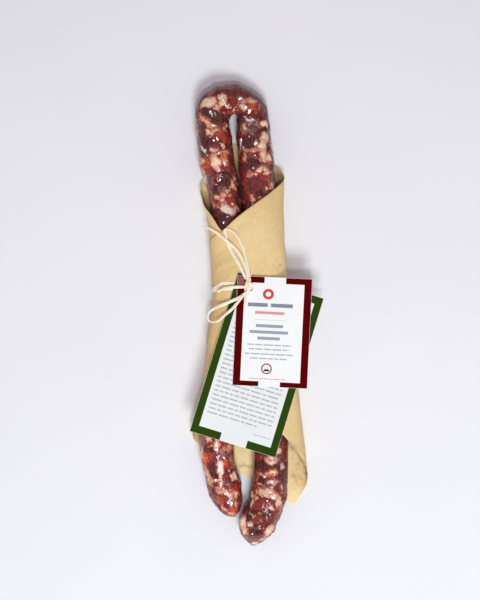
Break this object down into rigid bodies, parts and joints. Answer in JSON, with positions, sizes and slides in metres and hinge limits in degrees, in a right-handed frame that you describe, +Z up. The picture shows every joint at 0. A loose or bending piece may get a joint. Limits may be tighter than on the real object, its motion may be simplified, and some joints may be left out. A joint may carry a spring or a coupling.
{
  "type": "dried sausage in a paper wrap",
  "caption": "Dried sausage bent double and laid in a diagonal kraft paper wrap, tied at the waist with a raffia bow that holds hang tags.",
  "frame": {"origin": "middle of the whole object's footprint, on the surface it lies on", "axes": "+Y along the sausage's legs towards the bend, +X to the right as seen from above, +Z up"},
  "size_m": [0.1062, 0.3703, 0.0382],
  "materials": {
    "meat": "coarse cured pork, dark red lean and cream fat under a glossy wrinkled natural casing",
    "kraft": "matte tan butcher's paper, faintly fibrous and creased",
    "raffia": "cream raffia, fibrous and slightly glossy",
    "front_card": "satin white card with a maroon printed border",
    "back_card": "satin white card with a dark green printed border"
  },
  "bodies": {
    "root": {"sausage": "meat", "paper_wrap": "kraft", "raffia_tie": "raffia", "raffia_bow_loop": "raffia", "raffia_side_loop": "raffia", "raffia_long_tail": "raffia", "back_tag": "back_card", "front_tag": "front_card"}
  },
  "joints": []
}
